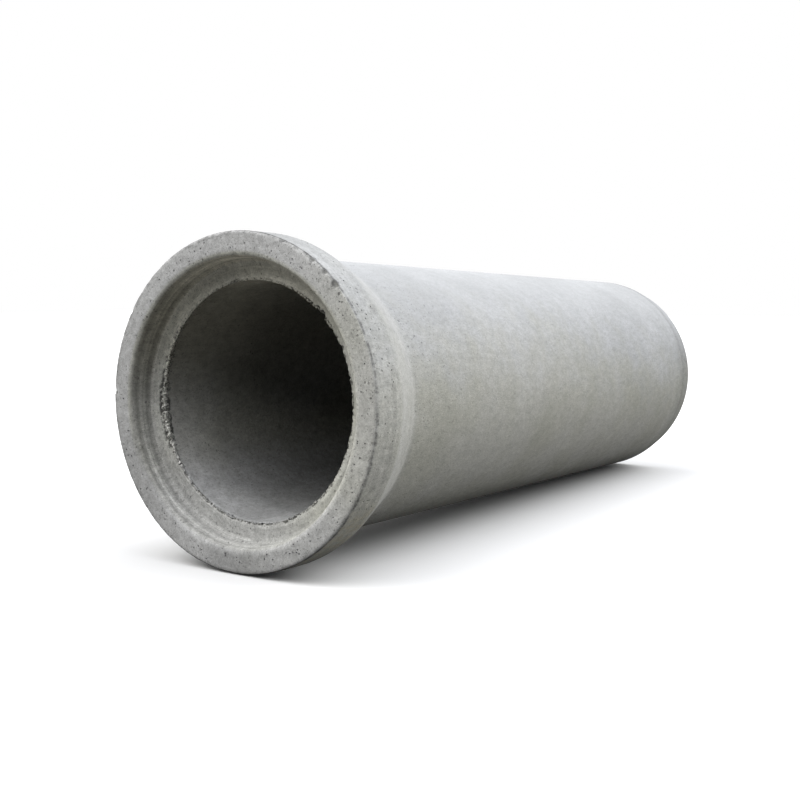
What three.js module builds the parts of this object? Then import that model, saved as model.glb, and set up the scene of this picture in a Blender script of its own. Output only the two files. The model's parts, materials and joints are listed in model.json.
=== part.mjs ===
// A precast concrete sewer pipe, cast in one piece, lying on level ground.
// One end is a bell with a socket inside it. The other end is a spigot, which the
// next pipe's socket takes. Units are millimetres and +Z is up. The pipe runs along
// Y, with its mouth towards -Y. It rests on the bell's rim and on the far end of
// its barrel, so its axis slopes down a little towards the spigot. The origin is on
// the ground, under the middle of the pipe.

import * as THREE from "three";

// ---- Driving dimensions ----

// Barrel
const boreRadius = 350;
const barrelWall = 75;
const layingLength = 2535; // from the seat in the socket to the spigot's end face

// Spigot: a rebate round the far end of the barrel
const spigotRebate = 15;
const spigotShoulderLength = 7; // short cone from the barrel down into the rebate
const spigotOverrun = 5; // length of rebate that stays outside the next socket

// Socket, inside the bell
const socketDepth = 80; // from the mouth face to the seat
const jointClearance = 2; // between a spigot and the socket round it
const socketStep = 2; // the front of the socket is wider than its back by this
const socketStepLength = 6; // short cone between the two
const backWallLength = 40; // narrow back of the socket, from the seat to that cone

// Bell, outside
const bellWall = 78;
const bellRimLength = 118; // straight rim, from the mouth face to the taper
const bellTaperLength = 166; // cone from the rim down to the barrel

// Rounded edges
const mouthArrisRadius = 9; // outer edge of the mouth face
const mouthLipRadius = 18; // inner edge of the mouth face
const socketEdgeRadius = 4; // both edges of the cone in the socket
const seatCoveRadius = 20; // hollow corner between the socket's wall and its seat
const boreArrisRadius = 5; // edge of the bore, in the seat
const boreEndArrisRadius = 6; // edge of the bore, in the spigot's end face
const spigotArrisRadius = 8; // outer edge of the spigot's end face
const spigotEdgeRadius = 6; // both edges of the spigot's shoulder
const rimRadius = 90; // where the rim turns into the taper
const taperFootRadius = 60; // hollow where the taper meets the barrel

// Fineness of the solid
const facetsRound = 96;
const turnPerArcStep = THREE.MathUtils.degToRad(24);

// ---- Sizes that follow ----

const barrelRadius = boreRadius + barrelWall;
const spigotRadius = barrelRadius - spigotRebate;
const spigotLength = socketDepth + spigotOverrun;
const backWallRadius = spigotRadius + jointClearance;
const frontWallRadius = backWallRadius + socketStep;
const bellRadius = backWallRadius + bellWall;
const pipeLength = socketDepth + layingLength;
const shoulderStart = pipeLength - spigotLength - spigotShoulderLength;

// ---- Outline ----

// A corner of the pipe's section: its radius from the axis, its distance along the
// axis from the mouth face, and the radius of the arc that rounds it.
function corner(radius, along, rounding) {
  return { point: new THREE.Vector2(radius, along), rounding };
}

// The arc that rounds one corner and runs smoothly into both of its sides. It never
// takes more than half of a side, so that two neighbouring arcs can't cross.
function roundedCorner(before, here, after) {
  const toBefore = before.point.clone().sub(here.point);
  const toAfter = after.point.clone().sub(here.point);
  const shortestSide = Math.min(toBefore.length(), toAfter.length());
  toBefore.normalize();
  toAfter.normalize();
  const halfAngle = Math.acos(THREE.MathUtils.clamp(toBefore.dot(toAfter), -1, 1)) / 2;
  const setback = Math.min(here.rounding / Math.tan(halfAngle), shortestSide / 2);
  const radius = setback * Math.tan(halfAngle);
  const bisector = toBefore.clone().add(toAfter).normalize();
  const centre = here.point.clone().addScaledVector(bisector, radius / Math.sin(halfAngle));
  const start = here.point.clone().addScaledVector(toBefore, setback).sub(centre);
  const end = here.point.clone().addScaledVector(toAfter, setback).sub(centre);
  const turn = Math.atan2(start.cross(end), start.dot(end));
  const steps = Math.max(1, Math.ceil(Math.abs(turn) / turnPerArcStep));
  const origin = new THREE.Vector2();
  const points = [];
  for (let step = 0; step <= steps; step += 1) {
    points.push(start.clone().rotateAround(origin, (turn * step) / steps).add(centre));
  }
  return points;
}

function roundedOutline(corners) {
  const points = corners.flatMap((here, index) => {
    const before = corners[(index + corners.length - 1) % corners.length];
    const after = corners[(index + 1) % corners.length];
    return roundedCorner(before, here, after);
  });
  points.push(points[0].clone());
  return points;
}

// The section, from the mouth's outer edge along the outside to the spigot, and back
// through the bore and the socket. A last point equal to the first closes it.
function pipeOutline() {
  const taperEnd = bellRimLength + bellTaperLength;
  const rebateStart = shoulderStart + spigotShoulderLength;
  const stepBack = socketDepth - backWallLength;
  const stepFront = stepBack - socketStepLength;
  return roundedOutline([
    corner(bellRadius, 0, mouthArrisRadius),
    corner(bellRadius, bellRimLength, rimRadius),
    corner(barrelRadius, taperEnd, taperFootRadius),
    corner(barrelRadius, shoulderStart, spigotEdgeRadius),
    corner(spigotRadius, rebateStart, spigotEdgeRadius),
    corner(spigotRadius, pipeLength, spigotArrisRadius),
    corner(boreRadius, pipeLength, boreEndArrisRadius),
    corner(boreRadius, socketDepth, boreArrisRadius),
    corner(backWallRadius, socketDepth, seatCoveRadius),
    corner(backWallRadius, stepBack, socketEdgeRadius),
    corner(frontWallRadius, stepFront, socketEdgeRadius),
    corner(frontWallRadius, 0, mouthLipRadius),
  ]);
}

// ---- How the pipe lies ----

// Distance from the mouth face to the centre of mass of the turned outline. Each side
// of the outline adds a cone, and Simpson's rule is exact for its volume and moment.
function balancePoint(outline) {
  let volume = 0;
  let moment = 0;
  for (let index = 1; index < outline.length; index += 1) {
    const from = outline[index - 1];
    const to = outline[index];
    const middle = from.clone().lerp(to, 0.5);
    const run = (to.y - from.y) / 6;
    volume += run * (from.x ** 2 + 4 * middle.x ** 2 + to.x ** 2);
    moment += run * (from.y * from.x ** 2 + 4 * middle.y * middle.x ** 2 + to.y * to.x ** 2);
  }
  return moment / volume;
}

// Slope of the ground line under the pipe: it touches the outline at one point on each
// side of the centre of mass, and no other such pair lies lower under that centre.
function groundSlope(outline) {
  const balance = balancePoint(outline);
  const flatPerRadius = Math.cos(Math.PI / facetsRound);
  let lowest = 0;
  let slope = 0;
  for (const near of outline.filter((point) => point.y < balance)) {
    for (const far of outline.filter((point) => point.y > balance)) {
      const rise = ((near.x - far.x) * flatPerRadius) / (far.y - near.y);
      const depth = near.x * flatPerRadius - rise * (balance - near.y);
      if (depth > lowest) {
        lowest = depth;
        slope = rise;
      }
    }
  }
  return slope;
}

// ---- Pipe ----

const concrete = new THREE.MeshStandardMaterial({ color: 0xa9a8a3, roughness: 0.94, metalness: 0 });

const outline = pipeOutline();
const firstFacet = Math.PI / facetsRound; // half a facet, so that a facet lies on the ground
const pipe = new THREE.Mesh(new THREE.LatheGeometry(outline, facetsRound, firstFacet), concrete);
pipe.name = "pipe";
pipe.rotation.x = -Math.atan(groundSlope(outline));

// The pipe is set down on the ground, with the middle of its length over the origin.
const extent = new THREE.Box3().setFromObject(pipe, true);
pipe.position.y -= (extent.min.y + extent.max.y) / 2;
pipe.position.z -= extent.min.z;

const sewerPipe = new THREE.Group();
sewerPipe.add(pipe);

export default sewerPipe;
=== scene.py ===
# %% [markdown]
# # A concrete sewer pipe
# This lesson models one length of socketed sewer pipe as it leaves the mould: a
# long plain barrel with a thicker bell at one end, whose socket takes the spigot
# of the next pipe. The pipe is a solid of revolution, so nearly all of its form
# is decided by one section, drawn once and turned round the axis. What makes it
# concrete comes after that: broken edges, air holes left by casting, marks of
# the mould and a dry, mottled surface.

# %% Load the frame
import bpy
import bmesh
import json
import math
import random
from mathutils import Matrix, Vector

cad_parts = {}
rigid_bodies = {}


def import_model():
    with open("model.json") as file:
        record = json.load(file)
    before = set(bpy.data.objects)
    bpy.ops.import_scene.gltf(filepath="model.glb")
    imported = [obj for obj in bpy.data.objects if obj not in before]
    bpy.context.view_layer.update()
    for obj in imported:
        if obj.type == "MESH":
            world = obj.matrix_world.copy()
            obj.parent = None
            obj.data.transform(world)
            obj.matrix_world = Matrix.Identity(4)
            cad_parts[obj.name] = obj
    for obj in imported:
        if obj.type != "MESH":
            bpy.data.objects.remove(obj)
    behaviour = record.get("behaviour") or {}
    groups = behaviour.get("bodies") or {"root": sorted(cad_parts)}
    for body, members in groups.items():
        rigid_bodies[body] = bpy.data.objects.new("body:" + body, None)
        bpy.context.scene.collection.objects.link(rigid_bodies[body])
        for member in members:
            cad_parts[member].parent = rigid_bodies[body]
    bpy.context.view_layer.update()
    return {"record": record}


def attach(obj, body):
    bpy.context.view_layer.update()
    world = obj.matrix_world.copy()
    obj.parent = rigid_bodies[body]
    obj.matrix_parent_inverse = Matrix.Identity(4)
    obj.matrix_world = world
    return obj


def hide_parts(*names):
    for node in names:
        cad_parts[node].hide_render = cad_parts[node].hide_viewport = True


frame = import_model()

# %% [markdown]
# ## Where the pipe lies
# A bell is wider than its barrel, so a pipe laid on flat ground touches it with
# the rim of the bell and with the far end of the barrel, and its axis slopes.
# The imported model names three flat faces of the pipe: the mouth, the seat at the
# bottom of the socket and the far end. The slope, the length and the depth of
# the socket are taken from them, so that the two models cannot disagree.

# %% Read the axis, the length and the depth of the socket
measured = {m["name"]: Vector(m["pos_m"]) for m in frame["record"]["mounts"]}


def on_axis(name):
    """The point of the axis level with a measured face, which is named off to one side."""
    return Vector((0.0, measured[name].y, measured[name].z))


mouth = on_axis("mouth_face")
along_pipe = on_axis("spigot_end") - mouth
pipe_length = along_pipe.length
socket_depth = (on_axis("socket_seat") - mouth).length
slope = math.atan2(along_pipe.z, along_pipe.y)
print(f"pipe {pipe_length:.3f} m long, socket {socket_depth:.3f} m deep,",
      f"axis {-math.degrees(slope):.2f} degrees down")

# %% [markdown]
# ## The section
# A section could be drawn as a curve and revolved, but a mesh outline is easier
# to count: each vertex becomes one ring of the pipe. It starts as a single vertex
# and is extruded from corner to corner, as one would with E and a typed distance.
# Radius is measured from the axis and distance from the mouth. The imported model
# has flat facets, whose middles lie a little inside the true circle, so the round
# outside is brought in by the same share and rests on the ground as they do. One
# corner, part of the way down the bore, rounds nothing: it is where fine rings end.

# %% Name the sizes of the section, in metres
packed_facets = 96
facet_share = math.cos(math.pi / packed_facets)

bore_radius = 0.350
barrel_wall = 0.075
spigot_rebate = 0.015
joint_clearance = 0.002
socket_step = 0.002
bell_wall = 0.078
taper_length = 0.166
spigot_length = 0.085
shoulder_length = 0.007

true_barrel_radius = bore_radius + barrel_wall
true_spigot_radius = true_barrel_radius - spigot_rebate
back_wall_radius = true_spigot_radius + joint_clearance
front_wall_radius = back_wall_radius + socket_step
barrel_radius = true_barrel_radius * facet_share
spigot_radius = true_spigot_radius * facet_share
bell_radius = (back_wall_radius + bell_wall) * facet_share

# distances from the mouth
front_wall_end = 0.034
back_wall_start = 0.040
bell_rim_end = 0.118
taper_end = bell_rim_end + taper_length
fine_bore_end = 0.240
shoulder_end = pipe_length - spigot_length
shoulder_start = shoulder_end - shoulder_length

# radius, distance from the mouth, radius of the rounding
section = [
    (bell_radius, 0.0, 0.009),
    (bell_radius, bell_rim_end, 0.090),
    (barrel_radius, taper_end, 0.060),
    (barrel_radius, shoulder_start, 0.006),
    (spigot_radius, shoulder_end, 0.006),
    (spigot_radius, pipe_length, 0.008),
    (bore_radius, pipe_length, 0.006),
    (bore_radius, fine_bore_end, 0.0),
    (bore_radius, socket_depth, 0.005),
    (back_wall_radius, socket_depth, 0.020),
    (back_wall_radius, back_wall_start, 0.004),
    (front_wall_radius, front_wall_end, 0.004),
    (front_wall_radius, 0.0, 0.018),
]

# %% Draw the outline, corner by corner
touching = 1e-5  # places nearer than this are one place


def deselect_objects():
    for thing in bpy.context.scene.objects:
        thing.select_set(False)


deselect_objects()
corners = [Vector((0.0, along, radius)) for radius, along, rounding in section]
bpy.ops.mesh.primitive_plane_add(size=0.01)
pipe = bpy.context.object
pipe.name = pipe.data.name = "concrete_pipe"
bpy.ops.object.mode_set(mode="EDIT")
bpy.ops.mesh.merge(type="CENTER")
bpy.ops.transform.translate(value=corners[0])
for here, there in zip(corners, corners[1:]):
    bpy.ops.mesh.extrude_region_move(TRANSFORM_OT_translate={"value": there - here})


def select_where(test, kind="verts"):
    """Selects, in edit mode, the vertices or faces whose middle passes the test."""
    bpy.ops.mesh.select_mode(type="VERT" if kind == "verts" else "FACE")
    bpy.ops.mesh.select_all(action="DESELECT")
    cage = bmesh.from_edit_mesh(pipe.data)
    if kind == "verts":
        chosen = [v for v in cage.verts if test(v.co)]
    else:
        chosen = [f for f in cage.faces if test(f.calc_center_median())]
    for item in chosen:
        item.select_set(True)
    cage.select_flush_mode()
    bmesh.update_edit_mesh(pipe.data)


select_where(lambda co: min((co - end).length for end in (corners[0], corners[-1])) < touching)
bpy.ops.mesh.edge_face_add()
print(len(bmesh.from_edit_mesh(pipe.data).verts), "corners in a closed outline")

# %% [markdown]
# ## Roundings and rings
# No corner of a casting is sharp. A vertex bevel turns each corner into an arc,
# and its offset is the distance from the corner to where the arc begins, which is
# the radius times the tangent of half the turn. The straight stretches are then
# cut up, finely where the mouth will be broken and pitted, and coarsely along the
# barrel, where there is little to show.

# %% Round the corners
degrees_per_arc_step = 30

for i, (radius, along, rounding) in enumerate(section):
    if rounding == 0.0:
        continue
    backward = corners[i - 1] - corners[i]
    forward = corners[(i + 1) % len(corners)] - corners[i]
    turn = math.pi - backward.angle(forward)
    steps = max(2, math.ceil(math.degrees(turn) / degrees_per_arc_step))
    select_where(lambda co: (co - corners[i]).length < touching)
    bpy.ops.mesh.bevel(affect="VERTICES", offset=rounding * math.tan(turn / 2),
                       segments=steps)

# %% Cut the straight stretches into rings
def ring_spacing(place):
    """How far apart the rings may be round a place of the outline."""
    radius, along = place.z, place.y
    if radius < bore_radius + touching:
        return 0.018 if along < fine_bore_end else 0.110
    if along < bell_rim_end:
        return 0.011
    if along < taper_end:
        return 0.015
    return 0.090 if along < shoulder_start else 0.016


def first_long_edge(cage):
    """An edge that is longer than its rings may be apart, and the cuts it needs."""
    for edge in cage.edges:
        start, end = (v.co for v in edge.verts)
        cuts = round((end - start).length / ring_spacing((start + end) / 2)) - 1
        if cuts > 0:
            return edge, cuts
    return None, 0


while True:
    bpy.ops.mesh.select_all(action="DESELECT")
    cage = bmesh.from_edit_mesh(pipe.data)
    edge, cuts = first_long_edge(cage)
    if edge is None:
        break
    edge.select_set(True)
    bpy.ops.mesh.subdivide(number_cuts=cuts)
print(len(bmesh.from_edit_mesh(pipe.data).verts), "rings")

# %% Turn the outline round the axis
steps_round = 240

bpy.ops.object.mode_set(mode="OBJECT")
lathe = pipe.modifiers.new("lathe", "SCREW")
lathe.axis = "Y"
lathe.steps = lathe.render_steps = steps_round
lathe.use_merge_vertices = True
lathe.merge_threshold = touching
bpy.ops.object.modifier_apply(modifier="lathe")
bpy.ops.object.mode_set(mode="EDIT")
bpy.ops.mesh.select_all(action="SELECT")
bpy.ops.mesh.remove_doubles(threshold=touching)
bpy.ops.mesh.normals_make_consistent(inside=False)
print(len(bmesh.from_edit_mesh(pipe.data).faces), "faces")

# %% Finer faces for the mouth, and finer again for its edges
def polar(co):
    """Radius, distance from the mouth, and angle in degrees, nought at the top."""
    return math.hypot(co.x, co.z), co.y, math.degrees(math.atan2(co.x, co.z))


def off_ring(co, ring_radius, ring_along):
    """How far a place is from a ring round the axis."""
    radius, along, angle = polar(co)
    return math.hypot(radius - ring_radius, along - ring_along)


def in_mouth(co):
    """On the straight part of the bell, or just inside the bore."""
    radius, along, angle = polar(co)
    return along < 0.125 or (radius < 0.36 and along < 0.15)


def hump(angle, middle, half_width):
    """One at the middle angle, falling smoothly to nought at the half width."""
    off = abs((angle - middle + 180) % 360 - 180) / half_width
    return (1 - off * off) ** 2 if off < 1 else 0.0


def on_broken_edges(co):
    """Near the edge of the bore, and further out at its worst break, or near the rim's."""
    radius, along, angle = polar(co)
    reach = 0.030 if hump(angle, -94, 44) > 0 else 0.013
    return off_ring(co, bore_radius, socket_depth) < reach or off_ring(co, bell_radius, 0) < 0.009


def on_worst_breaks(co):
    """Close to the edge of the bore, where it is broken most."""
    radius, along, angle = polar(co)
    broken_most = hump(angle, -96, 34) + hump(angle, 42, 9) > 0
    return broken_most and off_ring(co, bore_radius, socket_depth) < 0.007


for zone in (in_mouth, on_broken_edges, on_worst_breaks):
    select_where(zone, "faces")
    bpy.ops.mesh.subdivide(number_cuts=1)
    print(zone.__name__, len(bmesh.from_edit_mesh(pipe.data).faces), "faces")

# %% [markdown]
# ## Wear in the form
# No casting is quite true. Its skin wanders by a millimetre over an arm's length, and
# is uneven again at the size of a fingertip, which only the fine faces of the mouth
# can hold. The edges of the mouth break in small bites when the mould comes off and
# when the pipe is rolled and stacked, the inner edge most of all. A Displace modifier
# with a cloud texture does all of this. It pushes only inwards when its middle level
# is one, and a high contrast leaves whole stretches untouched between the bites. A
# vertex group, weighted by the distance from an edge and by the place round the pipe,
# holds the modifier to that edge. Displacing keeps the damage in the mesh, where it
# also changes the outline.

# %% Weight the vertices near an edge
def weight_near(name, radius, along, reach, share_at):
    """Makes a vertex group, full on a ring and fading out over a reach in metres.

    It gives back the group's name, because each applied modifier makes the groups anew.
    """
    group = pipe.vertex_groups.new(name=name)
    for vertex in pipe.data.vertices:
        away = off_ring(vertex.co, radius, along) / reach
        if away < 1.0:
            weight = share_at(polar(vertex.co)[2]) * (1.0 - away * away)
            group.add([vertex.index], weight, "REPLACE")
    return name


bpy.ops.object.mode_set(mode="OBJECT")
worst_break = weight_near("worst_break", bore_radius + 0.004, socket_depth, 0.028,
                          lambda a: 0.30 * hump(a, -80, 60) + 0.70 * hump(a, -98, 22))
bore_edge = weight_near("bore_edge", bore_radius, socket_depth, 0.012,
                        lambda a: 0.60 + 0.30 * hump(a, 40, 30) + 0.35 * hump(a, -165, 60)
                        + 0.30 * hump(a, -64, 26))
rim_edge = weight_near("rim_edge", bell_radius, 0.0, 0.010,
                       lambda a: 0.25 + 0.75 * hump(a, 36, 40))
fine_faces = "fine_faces"
fine_vertices = [v.index for v in pipe.data.vertices if in_mouth(v.co)]
pipe.vertex_groups.new(name=fine_faces).add(fine_vertices, 1.0, "REPLACE")
print([group.name for group in pipe.vertex_groups])

# %% Bite into the surface with a cloud texture
def bite(name, grain, depth, contrast=1.0, group="", detail=3):
    """Pushes the surface inwards by up to the depth, in patches about a grain wide."""
    clouds = bpy.data.textures.new(name, "CLOUDS")
    clouds.noise_scale = grain
    clouds.noise_depth = detail
    clouds.contrast = contrast
    push = pipe.modifiers.new(name, "DISPLACE")
    push.texture = clouds
    push.texture_coords = "LOCAL"
    push.mid_level = 1.0
    push.strength = depth
    push.vertex_group = group
    bpy.ops.object.modifier_apply(modifier=name)


bite("slow_unevenness", 0.300, 0.0012, detail=0)
bite("skin_unevenness", 0.014, 0.0008, 1.5, fine_faces)
unbroken = [vertex.co.copy() for vertex in pipe.data.vertices]
bite("coarse_bites_of_worst_break", 0.022, 0.0080, 2.0, worst_break)
bite("jagged_bites_of_worst_break", 0.011, 0.0100, 3.0, worst_break)
bite("coarse_bites_of_bore_edge", 0.021, 0.0040, 3.0, bore_edge)
bite("fine_bites_of_bore_edge", 0.0075, 0.0050, 3.5, bore_edge)
bite("coarse_bites_of_rim_edge", 0.019, 0.0018, 3.0, rim_edge)
bite("fine_bites_of_rim_edge", 0.006, 0.0012, 2.0, rim_edge)
print(len(unbroken), "vertices pushed inwards by cloud textures")

# %% [markdown]
# ## Chips and air holes
# A few larger chips sit where the pipe has been knocked. Each is one vertex moved
# into the concrete with proportional editing, so that its neighbours follow as
# they would in a shallow scoop. How far each vertex has moved since the edges were
# whole is kept in a point attribute, so that the material can tell broken concrete
# from cast skin. The small holes are bubbles that were trapped against the
# mould. Each is a single face, inset and pushed in, and a face attribute remembers
# them so that the material can paint shade into them.

# %% Knock out the larger chips
def ring_place(radius, along, angle):
    """The place at a radius, a distance from the mouth and an angle in degrees."""
    turn = math.radians(angle)
    return Vector((radius * math.sin(turn), along, radius * math.cos(turn)))


# radius, distance from the mouth, angle, reach, depth, and where the concrete lies:
# 1 is away from the axis and -1 is towards it
chips = [
    (bell_radius, 0.001, 46, 0.013, 0.0050, -1),
    (bell_radius, 0.001, 40, 0.010, 0.0035, -1),
    (bell_radius, 0.002, 34, 0.012, 0.0030, -1),
    (bell_radius, 0.001, 20, 0.010, 0.0025, -1),
    (bell_radius, 0.001, -88, 0.012, 0.0030, -1),
    (bell_radius, 0.001, -58, 0.012, 0.0022, -1),
    (bore_radius, socket_depth, 44, 0.016, 0.0110, 1),
    (bore_radius, socket_depth, 40, 0.012, 0.0060, 1),
    (bore_radius, socket_depth, 62, 0.010, 0.0035, 1),
    (bore_radius, socket_depth, -12, 0.010, 0.0030, 1),
    (bore_radius, socket_depth, -88, 0.012, 0.0060, 1),
    (bore_radius, socket_depth, -97, 0.010, 0.0060, 1),
    (bore_radius, socket_depth, -112, 0.012, 0.0050, 1),
    (bore_radius, socket_depth, 160, 0.012, 0.0045, 1),
]

bpy.ops.object.mode_set(mode="EDIT")
for radius, along, angle, reach, depth, into in chips:
    middle = ring_place(radius, along, angle)
    outwards = ring_place(1.0, 0.0, angle)
    cage = bmesh.from_edit_mesh(pipe.data)
    struck = min(cage.verts, key=lambda v: (v.co - middle).length)
    bpy.ops.mesh.select_all(action="DESELECT")
    struck.select_set(True)
    bmesh.update_edit_mesh(pipe.data)
    bpy.ops.transform.translate(
        value=depth * (into * outwards + Vector((0, 1, 0))).normalized(),
        use_proportional_edit=True, proportional_edit_falloff="SPHERE",
        proportional_size=reach)
print(len(chips), "chips")

# %% Remember how deep the surface is broken
bpy.ops.object.mode_set(mode="OBJECT")
depths = [(vertex.co - before).length for vertex, before in zip(pipe.data.vertices, unbroken)]
pipe.data.attributes.new("broken", "FLOAT", "POINT").data.foreach_set("value", depths)
print("broken up to", round(max(depths) * 1000, 1), "mm deep")

# %% Push in the air holes
hole_border = 0.0008
hole_taper = 0.0004
hole_depth = 0.0030

# how many, and a test of radius and distance from the mouth
stretches = {
    "face": (70, lambda r, y: 0.430 < r < 0.477 and y < 0.003),
    "rim": (110, lambda r, y: r > 0.486 and 0.012 < y < 0.122),
    "seat": (30, lambda r, y: 0.358 < r < 0.396 and abs(y - socket_depth) < 0.004),
    "socket_wall": (25, lambda r, y: 0.405 < r < 0.420 and 0.012 < y < 0.062),
}
random.seed(11)
bpy.ops.object.mode_set(mode="EDIT")
bpy.ops.mesh.select_mode(type="FACE")
cage = bmesh.from_edit_mesh(pipe.data)
holes = []
for name, (count, belongs) in stretches.items():
    candidates = [f for f in cage.faces if belongs(*polar(f.calc_center_median())[:2])]
    picked = random.sample(candidates, min(count, len(candidates)))
    holes += picked
    print(name, len(picked), "of", len(candidates))
bpy.ops.mesh.select_all(action="DESELECT")
for face in holes:
    face.select_set(True)
bmesh.update_edit_mesh(pipe.data)
bpy.ops.mesh.inset(thickness=hole_border, depth=0.0, use_individual=True)
bpy.ops.mesh.inset(thickness=hole_taper, depth=-hole_depth, use_individual=True)
bmesh.from_edit_mesh(pipe.data).faces.layers.float.new("air_hole")
cage = bmesh.from_edit_mesh(pipe.data)
hole_layer = cage.faces.layers.float["air_hole"]
for face in cage.faces:
    if face.select:
        face[hole_layer] = 1.0
bmesh.update_edit_mesh(pipe.data)
bpy.ops.object.mode_set(mode="OBJECT")
bpy.ops.object.shade_smooth_by_angle(angle=math.radians(50))
print(sum(len(p.vertices) - 2 for p in pipe.data.polygons), "triangles")

# %% Lay the pipe on the ground
pipe.rotation_euler.x = slope
pipe.location = mouth
bpy.ops.object.transform_apply(location=True, rotation=True, scale=True)
lowest = min(vertex.co.z for vertex in pipe.data.vertices)
pipe.location.z -= lowest
bpy.ops.object.transform_apply(location=True, rotation=False, scale=False)
print("set down by", round(lowest * 1000, 2), "mm, what the skin had lost")
low, high = Vector(pipe.bound_box[0]), Vector(pipe.bound_box[6])
print("pipe lies from", [round(v, 4) for v in low], "to", [round(v, 4) for v in high])

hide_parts("pipe")
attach(pipe, "root")

# %% [markdown]
# ## The concrete
# Dry cast concrete is nearly a plain grey, and reads as concrete through small
# differences: sand in the skin, cloudy patches where the paste was wetter, pores,
# rings where the mould turned in the socket, and painted light and shade, which make
# the bore darker and each part lighter or darker as the light falls on it. All of it
# is worked out from the place on the pipe. A Mapping node turns the object's coordinates
# back to the pipe's own, so that distance from the mouth, radius and angle can be read
# off them and a ring can run truly round the axis. The rest is arithmetic on two
# kinds of value. A mask is one on a part of the pipe and nought elsewhere. A tone
# multiplies the grey: one leaves it alone, less darkens it and more lightens it.

# %% A short way to add a node
def node(tree, kind, sockets=(), **settings):
    """Adds a node, sets its options, and fills its sockets with values or links."""
    made = tree.nodes.new(kind)
    for option, value in settings.items():
        setattr(made, option, value)
    for name, value in dict(sockets).items():
        if isinstance(value, bpy.types.NodeSocket):
            tree.links.new(value, made.inputs[name])
        else:
            made.inputs[name].default_value = value
    return made


def math_node(tree, operation, *values):
    """A Math node fed with numbers or sockets, and its result."""
    return node(tree, "ShaderNodeMath", dict(enumerate(values)),
                operation=operation).outputs["Value"]


concrete = bpy.data.materials.new("pale_cast_concrete")
concrete.use_nodes = True
tree = concrete.node_tree
surface = tree.nodes["Principled BSDF"]

# %% Read the place on the pipe
coordinates = node(tree, "ShaderNodeTexCoord").outputs["Object"]
own_place = node(tree, "ShaderNodeMapping", {
    "Vector": coordinates, "Location": mouth, "Rotation": (slope, 0, 0)},
    vector_type="TEXTURE").outputs["Vector"]
parts = node(tree, "ShaderNodeSeparateXYZ", {"Vector": own_place}).outputs
along = parts["Y"]
across = node(tree, "ShaderNodeVectorMath", {0: own_place, 1: (1, 0, 1)},
              operation="MULTIPLY").outputs["Vector"]
radius = node(tree, "ShaderNodeVectorMath", {0: across},
              operation="LENGTH").outputs["Value"]
angle = math_node(tree, "ARCTAN2", parts["X"], parts["Z"])

# %% Arithmetic on masks and tones
def fade(value, start, end, from_tone, to_tone):
    """Goes smoothly from one tone to another as a value goes from start to end."""
    return node(tree, "ShaderNodeMapRange", {
        "Value": value, "From Min": start, "From Max": end,
        "To Min": from_tone, "To Max": to_tone},
        interpolation_type="SMOOTHSTEP").outputs["Result"]


def mask(value, nought_at, one_at):
    return fade(value, nought_at, one_at, 0.0, 1.0)


def combine(operation, values):
    result = values[0]
    for value in values[1:]:
        result = math_node(tree, operation, result, value)
    return result


def times(*values):
    return combine("MULTIPLY", values)


def plus(*values):
    return combine("ADD", values)


def greatest(*values):
    return combine("MAXIMUM", values)


def all_but(part):
    """A mask that is one where another is nought."""
    return math_node(tree, "SUBTRACT", 1.0, part)


def only(where, tone):
    """A tone that holds where a mask is one, and leaves the grey alone elsewhere."""
    return node(tree, "ShaderNodeMix", {"Factor": where, "A": 1.0, "B": tone}).outputs["Result"]


# %% Which way a place looks
def faces_to(degrees):
    """One on the side of the pipe that looks to an angle, minus one on the far side."""
    side = math.radians(degrees)
    dot = node(tree, "ShaderNodeVectorMath",
               {0: across, 1: (math.sin(side), 0, math.cos(side))},
               operation="DOT_PRODUCT").outputs["Value"]
    return math_node(tree, "DIVIDE", dot, radius)


def nearing(facing, start, tone):
    """A tone that comes in from a start and is full where the pipe faces that way."""
    return fade(facing, start, 1.0, 1.0, tone)


to_top = faces_to(0)
to_ground = faces_to(180)

# %% Masks for the parts of the pipe, by radius and distance from the mouth
in_bore = mask(radius, 0.3545, 0.3525)
in_socket = times(mask(radius, 0.4225, 0.4165), mask(along, 0.086, 0.082))
inside = greatest(in_socket, in_bore)
on_seat = times(in_socket, mask(along, 0.070, 0.078), mask(radius, 0.349, 0.353))
on_wall = times(in_socket, mask(along, 0.078, 0.070))
on_face = times(mask(along, 0.014, 0.004), mask(radius, 0.414, 0.424))
on_rim = times(mask(radius, 0.4845, 0.4870), mask(along, 0.003, 0.010))
mouth_side = times(mask(along, 0.10, 0.09), mask(radius, 0.4870, 0.4845))
on_skin = times(all_but(mouth_side), mask(radius, 0.36, 0.38))

# %% Sand and mottling
def noise(vector, scale, detail=2.0, roughness=0.5):
    return node(tree, "ShaderNodeTexNoise", {
        "Vector": vector, "Scale": scale, "Detail": detail,
        "Roughness": roughness}).outputs["Fac"]


def swing(pattern, amount):
    """Swings about nought with a pattern whose middle is a half."""
    return times(math_node(tree, "SUBTRACT", pattern, 0.5), amount)


# the skin is drawn out along the pipe, where the mould was pulled off
squeeze_along = 0.55
drawn_out = node(tree, "ShaderNodeVectorMath", {0: own_place, 1: (1.0, squeeze_along, 1.0)},
                 operation="MULTIPLY").outputs["Vector"]
grain = noise(drawn_out, 400)
sand = noise(drawn_out, 150, 4, 0.65)
patches = noise(drawn_out, 48, 4, 0.65)
drifts = noise(own_place, 10, 3, 0.6)
clouds = noise(own_place, 3.2, 3)

low_face = times(on_face, mask(faces_to(145), 0.45, 0.85))
patchiness = plus(0.68, times(low_face, 0.12), times(on_rim, 0.10))
roughly = plus(swing(grain, 0.54), swing(sand, 0.65), swing(patches, patchiness),
               swing(drifts, 0.22))
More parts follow.
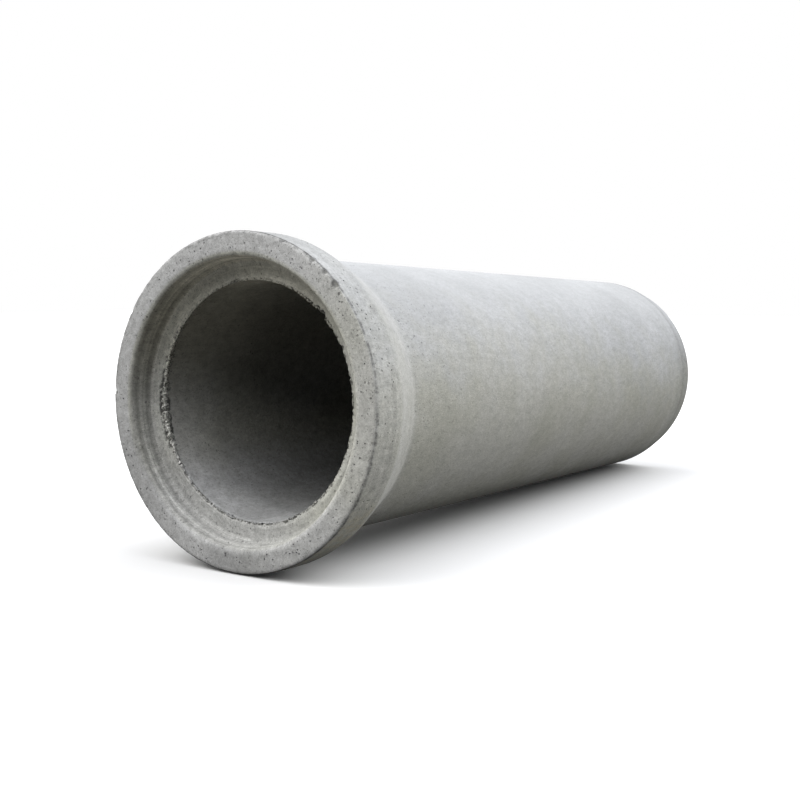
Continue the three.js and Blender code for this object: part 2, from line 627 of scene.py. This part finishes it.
# coarser round the mouth and in the socket, finer on top of the barrel
coarseness = plus(1.0, times(on_face, 0.42), times(on_rim, 0.30), times(in_bore, 0.15),
                  times(in_socket, fade(faces_to(-90), -0.5, 0.4, 0.3, 0.55)),
                  times(on_skin, fade(to_top, 0.40, 0.92, -0.15, -0.62)))
mottle = times(plus(1.0, times(roughly, coarseness)), fade(clouds, 0.35, 0.65, 0.95, 1.05))

# %% Pores
def pores(scale, widest, share):
    """Dark dots of painted shade for pores: one in each cell of a Voronoi pattern, many of them
    too small to show.
    """
    cells = node(tree, "ShaderNodeTexVoronoi", {"Vector": own_place, "Scale": scale},
                 feature="F1")
    luck = node(tree, "ShaderNodeSeparateColor",
                {"Color": cells.outputs["Color"]}).outputs["Red"]
    width = fade(luck, 1.0 - share, 1.0, 0.0, widest)
    depth = math_node(tree, "SUBTRACT", width, cells.outputs["Distance"])
    return mask(depth, 0.0, 0.10)


large_pores = times(pores(80, 0.40, 0.30), mask(drifts, 0.48, 0.62))
small_pores = times(pores(200, 0.45, 0.30), 0.8)
porous = greatest(on_face, in_socket, times(on_rim, 0.8), fade(along, 0.3, 0.9, 0.9, 0.35))
pore = times(greatest(large_pores, small_pores), porous)
pore_shade_tone = only(pore, plus(0.54, times(on_face, -0.16)))

# %% Rings that run round the axis
def rings(spacing, turns):
    """Noise drawn out round the axis: bands about a spacing wide that slowly change."""
    place = node(tree, "ShaderNodeCombineXYZ", {
        "X": times(radius, 1 / spacing), "Y": times(along, 1 / spacing),
        "Z": times(angle, turns)})
    return noise(place.outputs["Vector"], 1.0, 3, 0.6)


def band(value, middle, half_width, tone):
    """A tone that holds at one value and fades to one on both sides of it."""
    off = math_node(tree, "ABSOLUTE", math_node(tree, "SUBTRACT", value, middle))
    return fade(off, 0.0, half_width, tone, 1.0)


ring_share = plus(0.08, times(on_rim, 0.45), times(on_face, 0.20), times(on_seat, 0.80),
                  times(on_wall, fade(to_ground, 0.2, 0.9, 1.10, 0.65)))
ring_swing = plus(swing(rings(0.0090, 0.5), 0.75), swing(rings(0.0035, 1.6), 0.40))
ring_tone = plus(1.0, times(ring_swing, ring_share))
# three bands of painted light and shade round the socket wall: painted shade behind
# the lip, a painted highlight on the step, and painted shade in front of the seat
banded_wall_share = times(in_socket, fade(faces_to(-60), -0.3, 0.6, 0.45, 1.0))
painted_wall_bands = only(banded_wall_share, times(band(along, 0.019, 0.011, 0.74),
                                      band(along, 0.037, 0.008, 1.26),
                                      band(along, 0.061, 0.012, 0.76)))

# %% [markdown]
# ## Tones by place
# The same concrete is not the same grey all over. The face and the seat are paler
# than the skin, and most of the other tones are painted light and shade: each part is
# lighter or darker round the pipe as the light falls on it, the outer edge and the
# far shoulder carry a painted shadow, the barrel has painted shade underneath, and
# the bore has painted shade along its top and painted light along its bottom. In
# each fade the first two numbers say where it begins and ends, and the last two what
# it goes from and to.

# %% Tones of the face and its outer edge
# the face is paler than the skin, and painted light and shade make it lighter towards the top and
# darker towards the bottom, with smaller changes by angle
face_tone = only(on_face, times(
    plus(1.22, times(to_top, 0.20), fade(faces_to(145), 0.6, 1.0, 0.0, 0.14),
         fade(faces_to(-162), 0.80, 0.99, 0.0, 0.13)),
    nearing(to_ground, 0.955, 0.76),
    nearing(faces_to(-120), 0.90, 0.90),
    nearing(faces_to(-30), 0.90, 0.94)))
# painted shadow along the chipped outer edge of the face, darkest at the top and the bottom, and
# reaching further in on the left
edge_reach = times(mask(faces_to(-100), 0.0, 0.7), 0.0030)
arris = times(mask(plus(radius, edge_reach), 0.4855, 0.4872), mask(along, 0.0120, 0.0095))
arris_shadow_tone = only(arris, times(fade(patches, 0.38, 0.58, 0.52, 0.86),
                               fade(to_ground, 0.3, 0.9, 1.0, 0.60),
                               fade(to_top, 0.4, 0.9, 1.0, 0.62)))
# a patchy, darker band just inside the outer edge, on the left of the face
patchy_edge_band = times(mask(radius, 0.4735, 0.4790), mask(along, 0.012, 0.006),
                  mask(faces_to(-60), 0.0, 0.6))
edge_tone = only(patchy_edge_band, fade(patches, 0.38, 0.58, 0.68, 0.88))

# %% Tones of the socket
# painted light and shade on the seat: lighter towards the left, the top and the lower right, and
# near the bore
seat_tone = only(on_seat, times(
    plus(fade(faces_to(-72), 0.57, 0.95, 1.06, 1.85), fade(to_top, 0.80, 1.0, 0.0, 0.24),
         fade(faces_to(150), 0.80, 1.0, 0.0, 0.08)),
    fade(radius, 0.356, 0.378, 1.10, 0.95),
    nearing(faces_to(62), 0.85, 0.90)))
# painted light and shade on the socket wall, lighter or darker round the pipe as the light falls
# into the socket
wall_tone = only(on_wall, times(fade(faces_to(-62), 0.80, 1.0, 1.16, 0.82),
                                nearing(faces_to(-115), 0.80, 1.14),
                                nearing(to_ground, 0.80, 0.90),
                                nearing(to_top, 0.90, 1.18)))

# %% Tones of the bore
# painted light and shade in the bore: painted shade along its top and deep inside, easing towards
# the far end, painted light along its bottom near the mouth, and painted light on its top near
# the mouth and on its bottom further in
toward_lit_bottom = plus(faces_to(-145), times(along, plus(times(to_ground, 0.45), -0.80)))
painted_bore_shade = times(fade(along, 0.20, 0.55, 0.57, 0.38), fade(along, 0.6, 1.2, 1.0, 1.6))
painted_bore_light = times(fade(faces_to(-128), 0.66, 0.97, fade(along, 0.15, 0.40, 0.93, 1.12), 1.52),
              nearing(faces_to(-156), 0.90, 0.82))
crown = nearing(to_top, 0.90, fade(along, 0.14, 0.24, 1.40, 1.0))
invert = nearing(to_ground, 0.94, fade(along, 0.30, 0.45, 1.0, 1.18))
bore_tone = only(in_bore, times(fade(toward_lit_bottom, -0.06, 0.72, painted_bore_shade, painted_bore_light), crown, invert))

# %% Tones of the outside
# the rim a little darker, with painted shade towards its top
rim_tone = only(on_rim, fade(to_top, 0.80, 0.97, 0.96, 0.84))
stain = times(on_rim, mask(faces_to(141), 0.93, 0.99), mask(patches, 0.42, 0.58))
stain_tone = only(stain, 0.86)
# the taper painted lighter than the barrel beyond it, as light from behind would make it
taper_tone = times(fade(along, 0.10, 0.16, 1.0, 1.07), fade(along, 0.27, 0.295, 1.0, 0.92))
# a slightly darker stretch of the barrel near the bell, on its upper right
darker_patch_near_bell = times(on_skin, mask(along, 0.75, 0.50), mask(along, 0.28, 0.32),
             mask(faces_to(38), 0.88, 0.99))
darker_patch_tone = only(darker_patch_near_bell, 0.90)
# painted light on the lower sides of the barrel and painted shade on its underside
underside_light_and_shade = only(on_skin, times(fade(to_ground, 0.25, 0.66, 1.0, 1.12),
                                 fade(to_ground, 0.70, 0.95, 1.0, 0.50)))
# painted shadow in a ring before the far shoulder, painted shade low on the far end, and painted
# shade on the spigot behind the shoulder
shoulder_shadow = times(mask(along, shoulder_start - 0.038, shoulder_start - 0.028),
                 mask(along, shoulder_start + 0.005, shoulder_start - 0.011))
far_low_shade = times(mask(along, shoulder_start - 0.123, shoulder_start - 0.043),
                 fade(to_top, 0.15, 0.65, 1.0, 0.0))
spigot_shade = fade(along, shoulder_start - 0.003, shoulder_start + 0.012, 1.0, 0.92)
far_tone = only(on_skin, times(only(shoulder_shadow, 0.82), only(far_low_shade, 0.80), spigot_shade))

# %% Tones of holes and broken edges
# painted shade in the air holes
hole = node(tree, "ShaderNodeAttribute", attribute_name="air_hole").outputs["Fac"]
hole_shade_tone = fade(hole, 0.0, 1.0, 1.0, 0.30)

# a shallow break is fresh and pale, a deep one has painted shade, and outside the
# socket and bore both are darker, partly dirt and partly painted shade
broken = node(tree, "ShaderNodeAttribute", attribute_name="broken").outputs["Fac"]
fresh_tone = times(fade(broken, 0.0004, 0.0020, 1.0, 1.12),
                   fade(broken, 0.0025, 0.0075, 1.0, 0.78))
dirt_and_shade_tone = only(all_but(inside), times(fade(broken, 0.0003, 0.0016, 1.0, 0.58),
                                        fade(broken, 0.0022, 0.0040, 1.0, 0.60)))
broken_tone = math_node(tree, "MINIMUM", fresh_tone, dirt_and_shade_tone)

# painted shade in the gaps between the crumbs of a break in the mouth
crumb_gap_shade = times(inside, mask(broken, 0.0010, 0.0030),
             mask(noise(own_place, 170, 2, 0.6), 0.475, 0.425))
gap_tone = only(crumb_gap_shade, 0.30)

# %% All tones together
whole_tone = 0.985
tone = times(mottle, pore_shade_tone, ring_tone, painted_wall_bands, face_tone, arris_shadow_tone, edge_tone,
             seat_tone, wall_tone, bore_tone, rim_tone, stain_tone, taper_tone, darker_patch_tone,
             underside_light_and_shade, far_tone, hole_shade_tone, broken_tone, gap_tone, whole_tone)
print(len(tree.nodes), "nodes for the tone of", concrete.name)

# %% [markdown]
# ## Greys and surface
# Seven greys that differ by a few hundredths are laid over each other: a warm and an
# even one in clouds, a cooler one on the top of the outside, a painted tint of the
# bluish light from above, and others for fresh paste, the bottom of the bore, the
# shaded top of the inside and a stain on the rim. The surface is dull everywhere and
# has no shine at all in the bore.

# %% Greys
warm_grey = (0.462, 0.462, 0.432)
even_grey = (0.459, 0.459, 0.448)
skylight_grey = (0.445, 0.456, 0.495)
paste_grey = (0.458, 0.460, 0.482)
bore_grey = (0.442, 0.462, 0.540)
olive_grey = (0.478, 0.456, 0.392)
rust_grey = (0.480, 0.450, 0.370)


def blend(share, first, second):
    return node(tree, "ShaderNodeMix", {"Factor": share, "A": first, "B": second},
                data_type="VECTOR").outputs["Result"]


# %% Lay the greys over each other
# a cooler grey on the top of the outside: a painted tint of the bluish light from above
sky_tinted_top = times(on_skin, fade(along, 0.22, 0.32, 0.85, 1.0),
               mask(plus(to_top, swing(drifts, 0.9), fade(along, 1.2, 2.2, 0.0, 0.3)),
                    -0.15, 0.85))
lip = times(mask(radius, 0.436, 0.424), fade(to_ground, 0.1, 0.7, 1.0, 0.0))
pasty_face = greatest(fade(faces_to(-75), -0.85, -0.15, 0.25, 1.0),
                      fade(faces_to(155), 0.72, 0.97, 0.0, 0.9))
pasty = plus(times(on_face, all_but(lip), pasty_face),
             times(inside, fade(faces_to(-165), 0.55, 0.95, 0.0, 0.6)),
             times(on_skin, fade(along, 0.115, 0.15, 0.0, 0.45), mask(along, 0.32, 0.27)))
bluish = times(in_bore, fade(faces_to(-170), 0.55, 0.95, 0.0, 0.25))
shaded = times(inside, mask(faces_to(-12), 0.1, 0.9), plus(1.0, times(on_seat, -0.6)))

grey = blend(mask(clouds, 0.35, 0.65), warm_grey, even_grey)
for share, colour in ((sky_tinted_top, skylight_grey), (pasty, paste_grey), (bluish, bore_grey),
                      (shaded, olive_grey), (times(stain, 0.7), rust_grey)):
    grey = blend(share, grey, colour)
tinted = node(tree, "ShaderNodeVectorMath", {0: grey, "Scale": tone},
              operation="SCALE").outputs["Vector"]
tree.links.new(tinted, surface.inputs["Base Color"])

# %% A dull surface, with relief too fine for the mesh
surface.inputs["Roughness"].default_value = 0.92
shine = fade(in_bore, 0.0, 1.0, 0.25, 0.0)
tree.links.new(shine, surface.inputs["Specular IOR Level"])

relief_depth = 0.0018
relief = math_node(tree, "SUBTRACT", plus(times(grain, 0.5), times(sand, 0.9)),
                   times(pore, 0.8))
relief_seen = only(on_skin, fade(to_top, 0.45, 0.95, 1.0, 0.45))
bump = node(tree, "ShaderNodeBump", {"Height": relief, "Distance": relief_depth,
                                     "Strength": times(relief_seen, 0.6)})
tree.links.new(bump.outputs["Normal"], surface.inputs["Normal"])
pipe.data.materials.clear()
pipe.data.materials.append(concrete)
print(len(tree.nodes), "nodes in", concrete.name)

# %% [markdown]
# ## Floor, light and camera
# The floor is plain and pale and runs far out, so its edge is never seen. A pale
# floor would throw its own light up under the pipe, which a heavy object on open
# ground does not show, so only the camera sees it pale and other rays find it
# darker. The light comes from the world itself, as in a light tent: two broad
# panels high up on opposite sides, and a faint bluish one overhead. Each is the dot
# product of the direction with the panel's own, raised to a power, which is what a
# large soft lamp gives.

# %% Floor
floor_in_view = (0.855, 0.86, 0.91)
floor_for_light = (0.10, 0.10, 0.10)

deselect_objects()
bpy.ops.mesh.primitive_plane_add(size=60)
floor = bpy.context.object
floor.name = floor.data.name = "studio_floor"


def in_view(tree):
    """One for what the camera sees, also in a mirror or through glass."""
    rays = node(tree, "ShaderNodeLightPath").outputs
    shown = rays["Is Camera Ray"]
    for kind in ("Is Glossy Ray", "Is Transmission Ray"):
        shown = math_node(tree, "MAXIMUM", shown, rays[kind])
    return shown


pale = bpy.data.materials.new("pale_floor")
pale.use_nodes = True
tree = pale.node_tree
surface = tree.nodes["Principled BSDF"]
surface.inputs["Roughness"].default_value = 1.0
surface.inputs["Specular IOR Level"].default_value = 0.0
tree.links.new(blend(in_view(tree), floor_for_light, floor_in_view),
               surface.inputs["Base Color"])
floor.data.materials.append(pale)
print("floor", [round(side, 1) for side in floor.dimensions])

# %% Light
world = bpy.data.worlds.new("light_tent")
bpy.context.scene.world = world
world.use_nodes = True
tree = world.node_tree
direction = node(tree, "ShaderNodeTexCoord").outputs["Generated"]


def panel(azimuth, elevation, colour, narrowness):
    """The light of one broad panel: brightest from its own direction."""
    turn, rise = math.radians(azimuth), math.radians(elevation)
    towards = (math.cos(rise) * math.cos(turn), math.cos(rise) * math.sin(turn),
               math.sin(rise))
    facing = node(tree, "ShaderNodeVectorMath", {0: direction, 1: towards},
                  operation="DOT_PRODUCT").outputs["Value"]
    facing = math_node(tree, "POWER", math_node(tree, "MAXIMUM", facing, 0.0), narrowness)
    return node(tree, "ShaderNodeVectorMath", {0: colour, "Scale": facing},
                operation="SCALE").outputs["Vector"]


panels = [
    panel(44, 44, (5.00, 5.00, 4.65), 6.0),
    panel(220, 52, (5.20, 5.15, 4.70), 7.0),
    panel(0, 90, (0.18, 0.20, 0.34), 3.0),
]
light = panels[0]
for other in panels[1:]:
    light = node(tree, "ShaderNodeVectorMath", {0: light, 1: other},
                 operation="ADD").outputs["Vector"]
tent = tree.nodes["Background"]
tree.links.new(light, tent.inputs["Color"])
print(len(panels), "panels")

# %% A white backdrop for the camera alone
backdrop = node(tree, "ShaderNodeBackground", {"Color": (1, 1, 1, 1), "Strength": 1.0})
tent_or_backdrop = node(tree, "ShaderNodeMixShader", {
    0: in_view(tree), 1: tent.outputs["Background"], 2: backdrop.outputs["Background"]})
tree.links.new(tent_or_backdrop.outputs["Shader"], tree.nodes["World Output"].inputs["Surface"])

# %% Camera
eye_from_mouth = Vector((2.1790, -2.4596, 0.3230))
eye_tilt = 84.508
eye_turn = 33.33

eye = bpy.data.cameras.new("eye_level")
camera = bpy.data.objects.new("eye_level", eye)
bpy.context.scene.collection.objects.link(camera)
camera.location = mouth + eye_from_mouth
camera.rotation_euler = (math.radians(eye_tilt), 0, math.radians(eye_turn))
eye.sensor_width = 36.0
eye.lens = 51.87
bpy.context.scene.camera = camera
bpy.context.scene.view_settings.view_transform = "Standard"
print("camera at", [round(v, 3) for v in camera.location])
